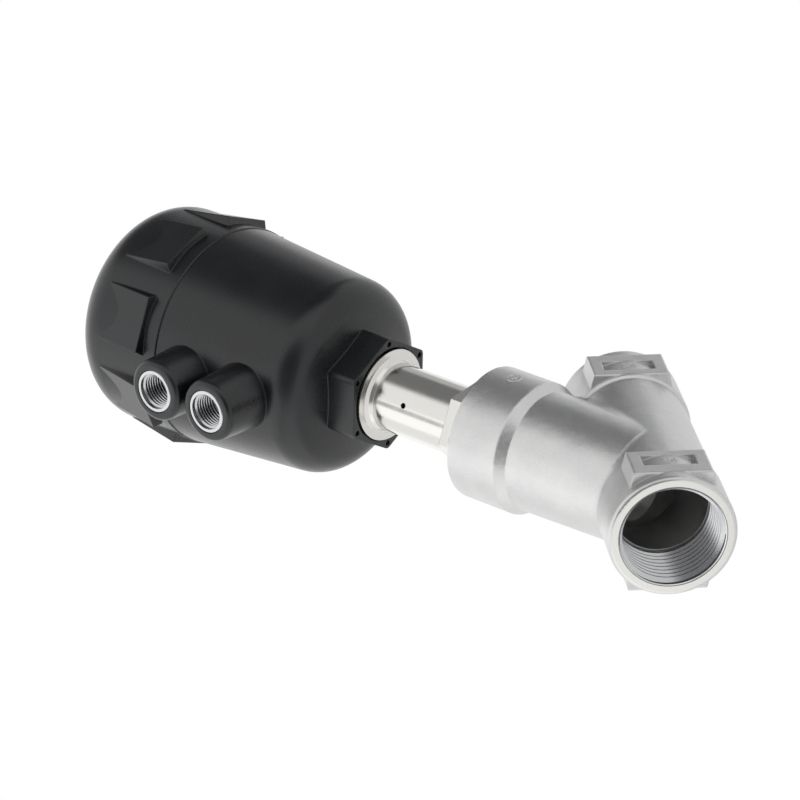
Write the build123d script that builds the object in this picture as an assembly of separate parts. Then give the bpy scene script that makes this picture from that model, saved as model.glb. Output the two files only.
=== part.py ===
from build123d import *

import os
from math import cos, hypot, radians, sin, tan

os.makedirs("parts", exist_ok=True)

# Angle seat valve, DN 20, with a 50 mm single-acting piston actuator. Millimetres and degrees.
# The part frame has its origin at the centre of the inlet port's face, X along the pipe and Z up.
# The stem frame has its origin where the stem axis crosses the pipe axis, and Z along the stem:
# sizes that end in _T are heights in it, and its -X side faces up and back over the inlet.

# Pipe body
BODY_L = 75.0
STEM_X = 23.8
STEM_LEAN = 43.0
PIPE_R = 15.2
PASSAGE_R = 11.8
COLLAR_R = 15.9
COLLAR_L = 16.2
COLLAR_EDGE_R = 1.0
THREAD_R = 13.22
THREAD_L = 16.5
PAD_HALF_AF = 15.95
PAD_HALF_W = 9.7
PAD_DRAFT = 12.0
PAD_EDGE_R = 0.5
PAD_START = 3.1
PAD_L = 12.0
POCKET_W = 13.3
POCKET_L = 5.3
POCKET_INSET = 4.0
POCKET_FLOOR_R = 14.9

# Branch that carries the stem
BRANCH_LOW_T = 4.0
BRANCH_LOW_R = 15.2
BRANCH_TOP_R = 15.8
STEP_T = 34.8
STEP_H = 2.6
STEP_EDGE_R = 1.2
BRANCH_EDGE_R = 1.0
JUNCTION_R = 3.0
BONNET_R = 17.5
BONNET_T = 52.2
CHAMBER_R = 12.7
BONNET_BORE_R = 13.4
BONNET_SEAT_T = 37.0

# Seat and disc
PARTITION_T = 5.0
SEAT_FLOOR_T = 7.6
SEAT_T = 9.0
SEAT_BORE_R = 8.75
SEAT_LIP_W = 1.3
SEAT_GAP = 0.1
SEAL_R = 10.6
SEAL_BORE_R = 7.0
SEAL_H = 3.0
DISC_R = 11.4
DISC_PLATE_H = 5.0
DISC_HUB_R = 7.2
DISC_HUB_H = 9.5
DISC_PIN_R = 1.5

# Stem
SPINDLE_R = 5.0
SPINDLE_NECK_R = 4.0
SPINDLE_NECK_H = 8.0
SPINDLE_END_H = 1.5
GUIDE_CLEARANCE = 0.05

# Neck tube between body and actuator
NECK_R = 9.13
NECK_HEX_AF = 21.0
NECK_HEX_H = 7.3
NECK_HEX_TURN = 52.4
NECK_BORE_R = 6.6
PACK_BORE_R = 7.6
PACK_SPRING_H = 8.2
PACK_SPRING_WIRE_R = 0.7
PACK_SPRING_PITCH = 3.1
FLANGE_T = 85.8
FLANGE_R = 12.42
FLANGE_H = 1.8
FLANGE_CONE_R = 10.6
SPIGOT_R = 8.6
SPIGOT_H = 12.2
WEEP_R = 0.75
WEEP_T = 74.4
WEEP_ANGLE = -68.6
GASKET_H = 1.2
GASKET_LAP = 1.2
GLAND_H = 6.0
THRUST_H = 2.0
VRING_COUNT = 4
VRING_H = 2.4
UPPER_BUSH_H = 9.0

# Actuator housing
HEX_STANDOFF = 0.76
HEX_AF = 27.6
HEX_CORNER_R = 1.6
DIMPLE_R = 0.8
DIMPLE_DEPTH = 0.9
HEX_H = 11.64
SHOULDER_RADIUS = 9.0
FRONT_CONE_H = 2.9
DRUM_H = 44.1
SEAM_R = 30.05
DRAFT = 4.9
CYLINDER_R = 25.0
CYLINDER_FLOOR_H = 7.8
SWIVEL_CLEARANCE = 0.05
SPIGOT_RING_RISE = 8.2
SPIGOT_RING_H = 1.2
SPIGOT_RING_R = 9.9
SPIGOT_RING_W = 1.9
SWIVEL_ORING_RISE = 4.8
SWIVEL_ORING_R = 0.6
STEM_SEAL_H = 3.0
COVER_NECK_R = 28.2
COVER_NECK_H = 8.0
COVER_ORING_R = 0.85
GROOVE_ROOM = 0.15

# Air ports
PORT_FIRST = 16.0
PORT_SPACING = 18.6
PORT_REACH = 40.1
BOSS_R = 8.3
BOSS_DRAFT = 3.0
BOSS_EDGE = 1.6
INSERT_R = 5.9
INSERT_BORE_R = 4.865
INSERT_L = 9.5
DUCT_R = 1.5

# Actuator cover
COVER_R = 30.3
COVER_H = 32.3
COVER_EDGE_R = 11.0
COVER_CAVITY_R = 26.5
COVER_ROOF = 4.2
COVER_SLOPE = 7.0
GRIP_COUNT = 8
GRIP_FIRST = -24.0
GRIP_START = 4.9
GRIP_L = 15.9
GRIP_W = 15.2
GRIP_RISE = 1.45
GRIP_FALL = 2.2
GRIP_BEVEL = 0.6

# Position indicator
PIN_R = 2.5
PIN_DEPTH = 3.0
PIN_HOLE_R = 3.1
CAP_R = 8.0
CAP_SEAT_DEPTH = 1.6
CAP_GAP = 1.4
CAP_WALL = 1.0

# Piston and its spring
STROKE = 8.0
PISTON_GAP = 0.6
PISTON_R = 24.6
PISTON_SKIRT_R = 22.0
PISTON_H = 18.0
PISTON_HUB_R = 9.0
PISTON_FLOOR_H = 5.5
PISTON_WEB_H = 3.0
PISTON_LIP_RISE = 11.0
LIP_H = 3.0
LIP_DEPTH = 2.2
WEAR_RING_RISE = 15.1
WEAR_RING_H = 1.9
WEAR_RING_DEPTH = 1.2
PISTON_FIT = 0.05
PISTON_NUT_AF = 13.0
PISTON_NUT_H = 6.5
SPRING_R = 17.0
SPRING_WIRE_R = 1.7
SPRING_PITCH = 9.4

# What follows from the sizes above
DISC_T = SEAT_T + SEAT_GAP
DISC_PLATE_T = DISC_T + DISC_PLATE_H
SPINDLE_T = DISC_PLATE_T + 1.5
DISC_PIN_T = DISC_PLATE_T + DISC_HUB_H / 2
PLUG_T = BONNET_SEAT_T + GASKET_H
GLAND_TOP_T = PLUG_T + GLAND_H
VRINGS_T = GLAND_TOP_T + THRUST_H
VRINGS_TOP_T = VRINGS_T + VRING_COUNT * VRING_H
PACK_SPRING_T = VRINGS_TOP_T + THRUST_H
PACK_TOP_T = PACK_SPRING_T + PACK_SPRING_H
SPIGOT_TOP_T = FLANGE_T + SPIGOT_H
SWIVEL_ORING_T = FLANGE_T + SWIVEL_ORING_RISE
SPIGOT_RING_T = FLANGE_T + SPIGOT_RING_RISE
HEX_T = FLANGE_T + HEX_STANDOFF
SHOULDER_T = HEX_T + HEX_H
SEAM_T = SHOULDER_T + DRUM_H
PORT_T = (SHOULDER_T + PORT_FIRST, SHOULDER_T + PORT_FIRST + PORT_SPACING)
CYLINDER_FLOOR_T = SHOULDER_T + CYLINDER_FLOOR_H
PISTON_T = CYLINDER_FLOOR_T + PISTON_GAP
PISTON_LIP_T = PISTON_T + PISTON_LIP_RISE
WEAR_RING_T = PISTON_T + WEAR_RING_RISE
COVER_END_T = SEAM_T + COVER_H
GRIP_FRONT_T = SEAM_T + GRIP_START
GRIP_BACK_T = GRIP_FRONT_T + GRIP_L
PIN_TOP_T = COVER_END_T - PIN_DEPTH
SHOULDER_R = SEAM_R - (SEAM_T - SHOULDER_T) * tan(radians(DRAFT))
PISTON_WEB_T = PISTON_T + PISTON_FLOOR_H
PISTON_TOP_T = PISTON_T + PISTON_H
HUB_T = PISTON_T + 2.0
NUT_T = PISTON_WEB_T + PISTON_WEB_H
SPINDLE_TOP_T = NUT_T + PISTON_NUT_H + SPINDLE_END_H
ROOF_T = COVER_END_T - COVER_ROOF
CAP_T = COVER_END_T - CAP_SEAT_DEPTH
CAP_TOP_T = PIN_TOP_T + STROKE + CAP_GAP + CAP_WALL
COVER_ORING_T = SEAM_T + COVER_NECK_H - 3.0


def stem_axis(shape):
    """Move a shape from the stem frame to the part frame."""
    return Pos(STEM_X, 0, 0) * Rot(0, 90 - STEM_LEAN, 0) * shape


def turned(*points):
    """Solid of revolution about Z from (radius, height) corners."""
    outline = Polyline(*[(r, 0, t) for r, t in points], close=True)
    return revolve(make_face(outline), Axis.Z)


def disc(radius, low, high):
    """Solid cylinder about Z between two heights."""
    return Pos(0, 0, low) * Cylinder(radius, high - low, align=(Align.CENTER, Align.CENTER, Align.MIN))


def ring(outer, inner, low, high):
    """Hollow cylinder about Z between two heights."""
    return turned((inner, low), (outer, low), (outer, high), (inner, high))


def hexagon(across_flats, low, high, turn=0.0, corner=0.0):
    """Hexagonal prism about Z, with a corner at the given angle from +X."""
    outline = RegularPolygon(across_flats / 2, 6, major_radius=False)
    if corner:
        outline = fillet(outline.vertices(), corner)
    return Pos(0, 0, low) * Rot(0, 0, turn) * extrude(outline, high - low)


def along_pipe(radius, start, end):
    """Cylinder about the pipe axis between two distances from the inlet face."""
    return Pos(start, 0, 0) * Rot(0, 90, 0) * disc(radius, 0, end - start)


def circles(shape, radius, height):
    """Circular edges about Z of one radius at one height."""
    return [
        edge
        for edge in shape.edges().filter_by(GeomType.CIRCLE)
        if abs(edge.radius - radius) < 0.02 and abs(edge.arc_center.Z - height) < 0.02
    ]


def half_space(height, above):
    """Block that covers one side of a plane across the stem."""
    side = Align.MIN if above else Align.MAX
    wide = 4 * BODY_L
    return stem_axis(Pos(0, 0, height) * Box(wide, wide, wide, align=(Align.CENTER, Align.CENTER, side)))


def both_ports(shape):
    """A shape at the inlet and its mirror image at the outlet."""
    return [shape, mirror(shape, Plane.YZ.offset(BODY_L / 2))]


def wrench_pad():
    """Cast spanner flat with drafted sides and a pocket, on top of a port."""
    foot_y = PAD_HALF_AF / 2
    foot_w = PAD_HALF_W + (PAD_HALF_AF - foot_y) * tan(radians(PAD_DRAFT))
    outline = Polyline(
        (0, -foot_y, foot_w), (0, -PAD_HALF_AF, PAD_HALF_W), (0, -PAD_HALF_AF, -PAD_HALF_W),
        (0, -foot_y, -foot_w), close=True,
    )
    pad = extrude(make_face(outline), PAD_L, dir=(1, 0, 0))
    pad = fillet(pad.edges().filter_by(lambda e: abs(e.center().Y + PAD_HALF_AF) < 0.01), PAD_EDGE_R)
    pocket = Pos(POCKET_INSET + POCKET_L / 2, -PAD_HALF_AF, 0) * Box(POCKET_L, PAD_HALF_AF, POCKET_W)
    pad -= pocket - along_pipe(POCKET_FLOOR_R, -1, PAD_L + 1)
    return Pos(PAD_START, 0, 0) * pad


def valve_body():
    """Cast Y-pattern body with two threaded ports, an inclined seat and a bonnet bore."""
    branch = turned(
        (0, BRANCH_LOW_T), (BRANCH_LOW_R, BRANCH_LOW_T), (BRANCH_TOP_R, STEP_T),
        (BONNET_R, STEP_T + STEP_H), (BONNET_R, BONNET_T), (0, BONNET_T),
    )
    branch = fillet(circles(branch, BRANCH_LOW_R, BRANCH_LOW_T), BRANCH_EDGE_R)
    branch = fillet(circles(branch, BONNET_R, STEP_T + STEP_H), STEP_EDGE_R)
    body = along_pipe(PIPE_R, COLLAR_EDGE_R, BODY_L - COLLAR_EDGE_R) + stem_axis(branch)
    junction = [
        edge
        for edge in body.edges().filter_by(GeomType.BSPLINE)
        if (edge @ 0.5).X > STEM_X + JUNCTION_R
        and abs(hypot((edge @ 0.5).Y, (edge @ 0.5).Z) - PIPE_R) < 0.05
    ]
    body = fillet(junction, JUNCTION_R)
    collar = along_pipe(COLLAR_R, 0, COLLAR_L)
    collar = chamfer(collar.edges().group_by(Axis.X)[-1], COLLAR_R - PIPE_R - 0.05)
    collar = fillet(collar.edges().group_by(Axis.X)[0], COLLAR_EDGE_R)
    pad = wrench_pad()
    for feature in both_ports(collar) + both_ports(pad) + both_ports(mirror(pad, Plane.XZ)):
        body += feature

    port = along_pipe(THREAD_R, -1, THREAD_L)
    inlet = along_pipe(PASSAGE_R, THREAD_L - 1, BODY_L / 2 + 2 * PASSAGE_R)
    inlet -= half_space(PARTITION_T, True)
    outlet = along_pipe(PASSAGE_R, STEM_X - PASSAGE_R, BODY_L - THREAD_L + 1)
    outlet -= half_space(SEAT_FLOOR_T, False)
    bore = turned(
        (0, PARTITION_T - 1), (SEAT_BORE_R, PARTITION_T - 1), (SEAT_BORE_R, SEAT_T),
        (SEAT_BORE_R + SEAT_LIP_W, SEAT_T), (SEAT_BORE_R + SEAT_LIP_W, SEAT_FLOOR_T),
        (CHAMBER_R, SEAT_FLOOR_T), (CHAMBER_R, BONNET_SEAT_T), (BONNET_BORE_R, BONNET_SEAT_T),
        (BONNET_BORE_R, BONNET_T + 1), (0, BONNET_T + 1),
    )
    lip = stem_axis(ring(SEAT_BORE_R + SEAT_LIP_W, SEAT_BORE_R, PARTITION_T, SEAT_T))
    for hollow in both_ports(port) + [inlet, outlet - lip, stem_axis(bore)]:
        body -= hollow
    return body


def neck_tube():
    """Turned tube: plug in the body, hexagon collar, flange and the spigot the actuator turns on."""
    hex_top = BONNET_T + NECK_HEX_H
    tube = turned(
        (PACK_BORE_R, PLUG_T), (BONNET_BORE_R, PLUG_T), (BONNET_BORE_R, BONNET_T), (NECK_R, BONNET_T),
        (NECK_R, FLANGE_T - 1.6), (NECK_R + 0.5, FLANGE_T - 0.7), (FLANGE_CONE_R, FLANGE_T),
        (FLANGE_R, FLANGE_T), (FLANGE_R, FLANGE_T + FLANGE_H), (SPIGOT_R, FLANGE_T + FLANGE_H),
        (SPIGOT_R, SPIGOT_TOP_T), (NECK_BORE_R, SPIGOT_TOP_T), (NECK_BORE_R, PACK_TOP_T),
        (PACK_BORE_R, PACK_TOP_T),
    )
    collar = hexagon(NECK_HEX_AF, BONNET_T, hex_top, NECK_HEX_TURN) - disc(NECK_R - 0.5, 0, FLANGE_T)
    tube += collar
    weep = Pos(0, 0, WEEP_T) * Rot(0, 0, WEEP_ANGLE) * Rot(90, 0, 0) * disc(WEEP_R, 0, 2 * NECK_R)
    groove_r = SPIGOT_RING_R - SPIGOT_RING_W
    tube -= weep
    tube -= ring(SPIGOT_R + 1, groove_r, SPIGOT_RING_T, SPIGOT_RING_T + SPIGOT_RING_H)
    groove = SWIVEL_ORING_R + GROOVE_ROOM
    tube -= ring(SPIGOT_R + 1, SPIGOT_R - 2 * groove, SWIVEL_ORING_T - groove, SWIVEL_ORING_T + groove)
    return tube


def packing_set():
    """Packing inside the tube: screwed gland, thrust rings, V-rings, from the body upwards."""
    inner = SPINDLE_R + GUIDE_CLEARANCE
    middle = (PACK_BORE_R + inner) / 2
    chevron = VRING_H / 2
    gland = ring(PACK_BORE_R, inner, PLUG_T, GLAND_TOP_T)
    for side in (-1, 1):
        gland -= Pos(side * PACK_BORE_R, 0, PLUG_T) * Box(2.4, 1.6, 2.4)
    lower = turned(
        (inner, GLAND_TOP_T), (PACK_BORE_R, GLAND_TOP_T), (PACK_BORE_R, VRINGS_T),
        (middle, VRINGS_T + chevron), (inner, VRINGS_T),
    )
    vrings = []
    for i in range(VRING_COUNT):
        low = VRINGS_T + i * VRING_H
        vrings.append(turned(
            (inner, low), (middle, low + chevron), (PACK_BORE_R, low), (PACK_BORE_R, low + VRING_H),
            (middle, low + VRING_H + chevron), (inner, low + VRING_H),
        ))
    upper = turned(
        (inner, VRINGS_TOP_T), (middle, VRINGS_TOP_T + chevron), (PACK_BORE_R, VRINGS_TOP_T),
        (PACK_BORE_R, PACK_SPRING_T), (inner, PACK_SPRING_T),
    )
    return gland, lower, Compound(children=vrings), upper


def coil(radius, wire_r, pitch, low, high):
    """Round-wire compression spring between two heights, its wire just touching both."""
    path = Helix(pitch, high - low - 2 * wire_r, radius)
    start = Plane(origin=path @ 0, z_dir=path % 0)
    return Pos(0, 0, low + wire_r) * sweep(start * Circle(wire_r), path=path, is_frenet=True)


def spindle():
    """Stem with a neck for the disc below, a shoulder and a thread neck for the piston above."""
    shaft = turned(
        (0, SPINDLE_T), (SPINDLE_NECK_R, SPINDLE_T), (SPINDLE_NECK_R, SPINDLE_T + SPINDLE_NECK_H),
        (SPINDLE_R, SPINDLE_T + SPINDLE_NECK_H), (SPINDLE_R, HUB_T),
        (SPINDLE_NECK_R, HUB_T), (SPINDLE_NECK_R, SPINDLE_TOP_T), (0, SPINDLE_TOP_T),
    )
    hole = Pos(0, 0, DISC_PIN_T) * Rot(90, 0, 0) * Cylinder(DISC_PIN_R, 4 * SPINDLE_R)
    return shaft - hole


def valve_disc():
    """Closing disc: plate with a groove for the seal, and a hub pinned to the stem."""
    hub_top = DISC_PLATE_T + DISC_HUB_H
    body = turned(
        (0, DISC_T), (SEAL_BORE_R, DISC_T), (SEAL_BORE_R, DISC_T + SEAL_H), (SEAL_R, DISC_T + SEAL_H),
        (SEAL_R, DISC_T + 0.6), (DISC_R, DISC_T + 0.6), (DISC_R, DISC_PLATE_T - 1.2),
        (DISC_R - 1.2, DISC_PLATE_T), (DISC_HUB_R, DISC_PLATE_T), (DISC_HUB_R, hub_top),
        (SPINDLE_NECK_R + 0.4, hub_top), (SPINDLE_NECK_R + 0.4, SPINDLE_T), (0, SPINDLE_T),
    )
    return body - Pos(0, 0, DISC_PIN_T) * Rot(90, 0, 0) * Cylinder(DISC_PIN_R, 4 * DISC_R)


def piston():
    """Moulded piston: skirt below, spring cup above, grooves for lip seal and guide ring."""
    body = turned(
        (SPINDLE_NECK_R, HUB_T), (PISTON_HUB_R, HUB_T), (PISTON_HUB_R, PISTON_WEB_T),
        (PISTON_SKIRT_R - 2.4, PISTON_WEB_T), (PISTON_SKIRT_R - 2.4, PISTON_T),
        (PISTON_SKIRT_R, PISTON_T), (PISTON_SKIRT_R, PISTON_LIP_T - 1.4), (PISTON_R, PISTON_LIP_T - 1.4),
        (PISTON_R, PISTON_TOP_T), (PISTON_R - 3.6, PISTON_TOP_T), (PISTON_R - 3.6, NUT_T),
        (SPINDLE_NECK_R, NUT_T),
    )
    body -= ring(PISTON_R + 1, PISTON_R - LIP_DEPTH, PISTON_LIP_T, PISTON_LIP_T + LIP_H)
    body -= ring(PISTON_R + 1, PISTON_R - WEAR_RING_DEPTH, WEAR_RING_T, WEAR_RING_T + WEAR_RING_H)
    for i in range(6):
        slot = Pos(PISTON_SKIRT_R - 1.2, 0, PISTON_T) * Box(6, 4, 3)
        body -= Rot(0, 0, 30 + 60 * i) * slot
    return body


def piston_lip_seal():
    """Lip ring with a pressure groove that opens towards the air chamber below the piston."""
    outer = CYLINDER_R - PISTON_FIT
    inner = PISTON_R - LIP_DEPTH
    return turned(
        (inner, PISTON_LIP_T), (inner + 0.7, PISTON_LIP_T), (inner + 1.1, PISTON_LIP_T + 1.3),
        (outer - 0.8, PISTON_LIP_T + 1.3), (outer - 0.4, PISTON_LIP_T), (outer, PISTON_LIP_T + 0.4),
        (outer, PISTON_LIP_T + LIP_H), (inner, PISTON_LIP_T + LIP_H),
    )


def air_port(height, radius, start, end, radius_end=None):
    """Round feature of an air port, between two distances from the stem axis on the -X side."""
    length = end - start
    shape = Cone(radius, radius_end, length) if radius_end else Cylinder(radius, length)
    return Pos(-(start + end) / 2, 0, height) * Rot(0, -90, 0) * shape


def actuator_housing():
    """Moulded cylinder housing: hexagon boss, drafted drum, two air bosses and a cover neck."""
    hex_end = SHOULDER_T - FRONT_CONE_H
    drum = turned(
        (0, hex_end), (HEX_AF / 2, hex_end), (SHOULDER_R, SHOULDER_T), (SEAM_R, SEAM_T), (0, SEAM_T),
    )
    drum = fillet(circles(drum, SHOULDER_R, SHOULDER_T), SHOULDER_RADIUS)
    drum += hexagon(HEX_AF, HEX_T, SHOULDER_T + 2, 30, HEX_CORNER_R)
    foot_r = BOSS_R + (PORT_REACH - CYLINDER_R - 1) * tan(radians(BOSS_DRAFT))
    for height in PORT_T:
        boss = air_port(height, foot_r, CYLINDER_R + 1, PORT_REACH, BOSS_R)
        boss = fillet(boss.edges().group_by(Axis.X)[0], BOSS_EDGE)
        drum += boss
    drum += disc(COVER_NECK_R, SEAM_T - 1, SEAM_T + COVER_NECK_H)

    spigot_bore = SPIGOT_R + SWIVEL_CLEARANCE
    stem_bore = SPINDLE_R + 2.6
    seal_bore = SPINDLE_R + 0.3
    drum -= turned(
        (0, HEX_T - 1), (FLANGE_R + 0.4, HEX_T - 1), (FLANGE_R + 0.4, FLANGE_T + FLANGE_H + 0.2),
        (spigot_bore, FLANGE_T + FLANGE_H + 0.2), (spigot_bore, SPIGOT_TOP_T + 0.4),
        (seal_bore, SPIGOT_TOP_T + 0.4), (seal_bore, CYLINDER_FLOOR_T - STEM_SEAL_H),
        (stem_bore, CYLINDER_FLOOR_T - STEM_SEAL_H), (stem_bore, CYLINDER_FLOOR_T),
        (CYLINDER_R - 2, CYLINDER_FLOOR_T), (CYLINDER_R, CYLINDER_FLOOR_T + 2),
        (CYLINDER_R, SEAM_T + COVER_NECK_H + 1), (0, SEAM_T + COVER_NECK_H + 1),
    )
    ring_top = SPIGOT_RING_T + SPIGOT_RING_H
    drum -= ring(SPIGOT_RING_R + 0.2, SPIGOT_R - 0.5, SPIGOT_RING_T - 0.1, ring_top + 0.1)
    groove = COVER_ORING_R + GROOVE_ROOM
    groove_low, groove_high = COVER_ORING_T - groove, COVER_ORING_T + groove
    drum -= ring(COVER_NECK_R + 1, COVER_NECK_R - 2 * groove, groove_low, groove_high)
    for height in PORT_T:
        drum -= air_port(height, INSERT_R, PORT_REACH - INSERT_L, PORT_REACH + 1)
        drum -= air_port(height, DUCT_R, CYLINDER_R - 2, PORT_REACH)
    for i in range(6):
        angle = radians(30 + 60 * i)
        reach = HEX_AF / 2 / cos(radians(30)) - 1.75
        drum -= Pos(reach * cos(angle), reach * sin(angle), HEX_T) * Cylinder(DIMPLE_R, 2 * DIMPLE_DEPTH)
    return drum


def grip_pad(angle):
    """Flat wedge pad on the cover's rim: bevelled sides, falling towards the back."""
    half = GRIP_W / 2
    front = COVER_R + GRIP_RISE
    back = front - GRIP_FALL
    root = COVER_R - 2.6
    bevel = GRIP_BEVEL * (front - root) / (GRIP_RISE + 0.9)
    top = Polyline(
        (front, -half, GRIP_FRONT_T), (front, half, GRIP_FRONT_T),
        (back, half, GRIP_BACK_T), (back, -half, GRIP_BACK_T), close=True,
    )
    low, high = GRIP_FRONT_T - bevel, GRIP_BACK_T + bevel
    foot = Polyline(
        (root, -half - bevel, low), (root, half + bevel, low),
        (root, half + bevel, high), (root, -half - bevel, high), close=True,
    )
    wedge = loft([make_face(foot), make_face(top)], ruled=True)
    return Rot(0, 0, angle) * wedge


def actuator_cover():
    """Screw-on dome with eight grip pads round its rim and a seat for the indicator cap."""
    dome = disc(COVER_R, SEAM_T, COVER_END_T)
    dome = fillet(circles(dome, COVER_R, COVER_END_T), COVER_EDGE_R)
    dome = chamfer(circles(dome, COVER_R, SEAM_T), 0.25)
    for i in range(GRIP_COUNT):
        dome += grip_pad(GRIP_FIRST - 90 + i * 360 / GRIP_COUNT)
    neck_top = SEAM_T + COVER_NECK_H
    dome -= turned(
        (0, SEAM_T - 1), (COVER_NECK_R, SEAM_T - 1), (COVER_NECK_R, neck_top),
        (COVER_CAVITY_R, neck_top), (COVER_CAVITY_R, ROOF_T - COVER_SLOPE),
        (COVER_CAVITY_R - COVER_SLOPE, ROOF_T), (0, ROOF_T),
    )
    dome -= disc(PIN_HOLE_R, ROOF_T - 1, COVER_END_T + 1)
    dome -= disc(CAP_R, CAP_T, COVER_END_T + 1)
    return dome


def indicator_cap():
    """Clear cap over the indicator pin."""
    shell = disc(CAP_R, CAP_T, CAP_TOP_T)
    shell = fillet(circles(shell, CAP_R, CAP_TOP_T), 3.0)
    return shell - disc(CAP_R - CAP_WALL * 2, CAP_T, CAP_TOP_T - CAP_WALL)


def thread_insert(height):
    """Metal sleeve in an air boss, bored at the major diameter of its thread."""
    sleeve = air_port(height, INSERT_R, PORT_REACH - INSERT_L, PORT_REACH)
    sleeve = chamfer(sleeve.edges().group_by(Axis.X)[0], 0.3)
    return sleeve - air_port(height, INSERT_BORE_R, PORT_REACH - INSERT_L + 0.8, PORT_REACH + 1) - air_port(
        height, DUCT_R, PORT_REACH - INSERT_L - 1, PORT_REACH
    )


def build():
    """Every node by name, in the part frame."""
    inner = SPINDLE_R + GUIDE_CLEARANCE
    gland, lower_thrust, vrings, upper_thrust = packing_set()
    oring_r = COVER_NECK_R - COVER_ORING_R - GROOVE_ROOM / 3
    swivel_r = SPIGOT_R - SWIVEL_ORING_R
    nodes = {
        "neck_tube": neck_tube(),
        "body_gasket": ring(BONNET_BORE_R, CHAMBER_R - GASKET_LAP, BONNET_SEAT_T, PLUG_T),
        "packing_gland": gland,
        "packing_thrust_lower": lower_thrust,
        "packing_vrings": vrings,
        "packing_thrust_upper": upper_thrust,
        "packing_spring": coil(
            PACK_BORE_R - 1.15, PACK_SPRING_WIRE_R, PACK_SPRING_PITCH, PACK_SPRING_T, PACK_TOP_T
        ),
        "upper_bush": ring(NECK_BORE_R, inner, SPIGOT_TOP_T - UPPER_BUSH_H, SPIGOT_TOP_T),
        "spigot_ring": ring(
            SPIGOT_RING_R, SPIGOT_RING_R - SPIGOT_RING_W, SPIGOT_RING_T, SPIGOT_RING_T + SPIGOT_RING_H
        ),
        "swivel_oring": Pos(0, 0, SWIVEL_ORING_T) * Torus(swivel_r, SWIVEL_ORING_R),
        "spindle": spindle(),
        "valve_disc": valve_disc(),
        "seat_seal": ring(SEAL_R, SEAL_BORE_R, DISC_T, DISC_T + SEAL_H),
        "disc_pin": Pos(0, 0, DISC_PIN_T) * Rot(90, 0, 0) * Cylinder(DISC_PIN_R, 2 * DISC_HUB_R - 0.8),
        "piston": piston(),
        "piston_lip_seal": piston_lip_seal(),
        "piston_guide_ring": ring(
            CYLINDER_R - PISTON_FIT, PISTON_R - WEAR_RING_DEPTH, WEAR_RING_T, WEAR_RING_T + WEAR_RING_H
        ),
        "piston_nut": hexagon(PISTON_NUT_AF, NUT_T, NUT_T + PISTON_NUT_H)
        - disc(SPINDLE_NECK_R, 0, COVER_END_T),
        "indicator_pin": disc(PIN_R, SPINDLE_TOP_T, PIN_TOP_T),
        "main_spring": coil(SPRING_R, SPRING_WIRE_R, SPRING_PITCH, NUT_T, ROOF_T),
        "actuator_housing": actuator_housing(),
        "stem_seal": ring(SPINDLE_R + 2.6, inner, CYLINDER_FLOOR_T - STEM_SEAL_H, CYLINDER_FLOOR_T),
        "cover_oring": Pos(0, 0, COVER_ORING_T) * Torus(oring_r, COVER_ORING_R),
        "thread_insert_lower": thread_insert(PORT_T[0]),
        "thread_insert_upper": thread_insert(PORT_T[1]),
        "actuator_cover": actuator_cover(),
        "indicator_cap": indicator_cap(),
    }
    nodes = {name: stem_axis(shape) for name, shape in nodes.items()}
    return {"valve_body": valve_body(), **nodes}


for node, shape in build().items():
    export_step(shape, f"parts/{node}.step")
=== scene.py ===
"""Looks of an angle seat valve: finishes, threads, cast marks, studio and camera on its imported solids."""

import logging
import math
from dataclasses import dataclass
from enum import Enum
from typing import Any, Optional, Sequence

import bmesh
import bpy
from mathutils import Matrix, Vector


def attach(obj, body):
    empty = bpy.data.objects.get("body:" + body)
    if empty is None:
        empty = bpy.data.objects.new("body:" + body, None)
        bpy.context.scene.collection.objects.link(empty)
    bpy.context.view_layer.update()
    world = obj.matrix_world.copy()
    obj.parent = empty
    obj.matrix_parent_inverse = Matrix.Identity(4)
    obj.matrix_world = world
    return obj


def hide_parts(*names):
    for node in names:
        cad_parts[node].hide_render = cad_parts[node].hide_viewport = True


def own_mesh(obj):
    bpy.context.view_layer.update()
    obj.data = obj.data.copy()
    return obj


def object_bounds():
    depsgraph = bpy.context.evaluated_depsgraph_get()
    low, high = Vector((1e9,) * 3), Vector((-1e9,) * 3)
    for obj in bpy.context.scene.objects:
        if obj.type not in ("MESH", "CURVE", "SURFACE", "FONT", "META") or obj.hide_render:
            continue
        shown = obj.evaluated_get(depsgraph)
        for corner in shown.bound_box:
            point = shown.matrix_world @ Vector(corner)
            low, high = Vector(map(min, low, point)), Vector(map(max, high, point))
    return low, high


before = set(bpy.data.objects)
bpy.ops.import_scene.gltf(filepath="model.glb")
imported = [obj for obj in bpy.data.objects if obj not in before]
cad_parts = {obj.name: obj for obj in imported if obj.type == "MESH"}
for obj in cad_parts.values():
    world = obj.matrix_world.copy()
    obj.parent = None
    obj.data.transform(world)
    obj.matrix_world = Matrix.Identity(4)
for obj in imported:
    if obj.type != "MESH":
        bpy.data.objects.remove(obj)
cad_low, cad_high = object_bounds()

log = logging.getLogger("angle_seat_valve")

MM = 0.001
BODY_LENGTH = 75.0
STEM_CROSSING = Vector((23.8 * MM, 0.0, 0.0))
STEM_LEAN = math.radians(43.0)
STEM_AXIS = Vector((math.cos(STEM_LEAN), 0.0, math.sin(STEM_LEAN)))
STEM_SIDE = Vector((math.sin(STEM_LEAN), 0.0, -math.cos(STEM_LEAN)))

NOISE_LOW, NOISE_HIGH = 0.3, 0.7
NOISE_ROUGHNESS = 0.55
MERGE_DISTANCE = 1e-7
CRISP_ANGLE = math.radians(30)

Socket = bpy.types.NodeSocket


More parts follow.
